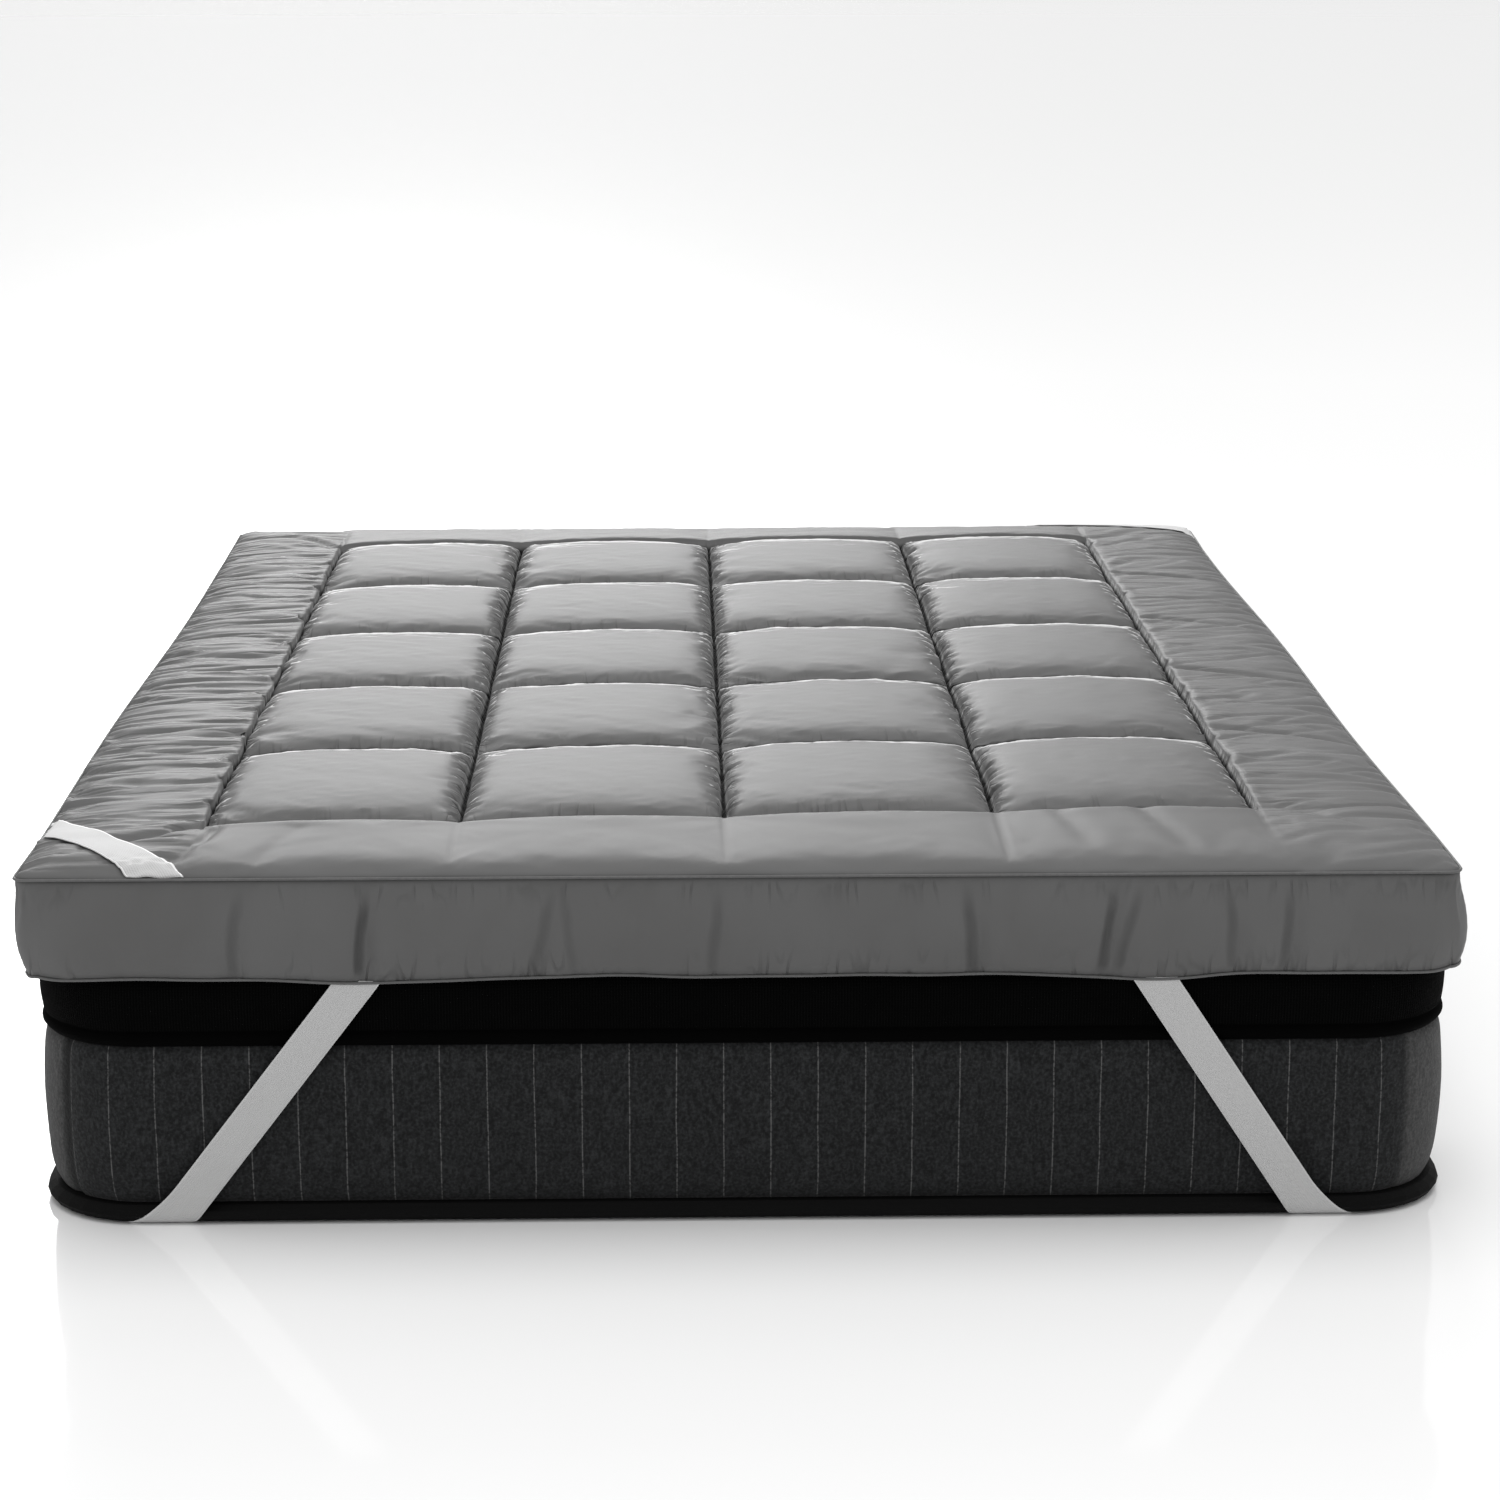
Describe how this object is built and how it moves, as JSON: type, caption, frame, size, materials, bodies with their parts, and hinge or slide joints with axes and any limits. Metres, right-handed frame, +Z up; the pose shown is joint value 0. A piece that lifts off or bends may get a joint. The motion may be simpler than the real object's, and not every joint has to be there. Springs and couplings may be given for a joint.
{
  "type": "quilted floor mattress on a bed mattress",
  "caption": "Grey quilted floor mattress with a boxed, piped edge and elastic corner straps, lying strapped on a plain bed mattress.",
  "frame": {"origin": "on the floor under the middle of the quilted pad, where the bed mattress rests", "axes": "+Z up, +Y from the foot end to the head end, +X to the right as seen from the foot end"},
  "size_m": [1.5201, 2.014, 0.4139],
  "materials": {
    "pad_cloth": "brushed microfibre, soft sheen",
    "welt_cloth": "folded microfibre piping",
    "grey_elastic": "ribbed woven elastic",
    "white_elastic": "ribbed woven elastic",
    "black_mesh": "fine ribbed spacer mesh",
    "charcoal_knit": "fine knit with thin upright stripes",
    "black_tape": "flat binding tape"
  },
  "bodies": {
    "root": {"topper_pad": "pad_cloth", "welt_top": "welt_cloth", "welt_bottom": "welt_cloth", "strap_front_left": "grey_elastic", "strap_front_right": "grey_elastic", "strap_back_left": "grey_elastic", "strap_back_right": "grey_elastic", "corner_band_front_left": "white_elastic", "corner_band_back_right": "white_elastic", "mattress_top_band": "black_mesh", "mattress_border": "charcoal_knit", "mattress_base": "black_tape"}
  },
  "joints": []
}
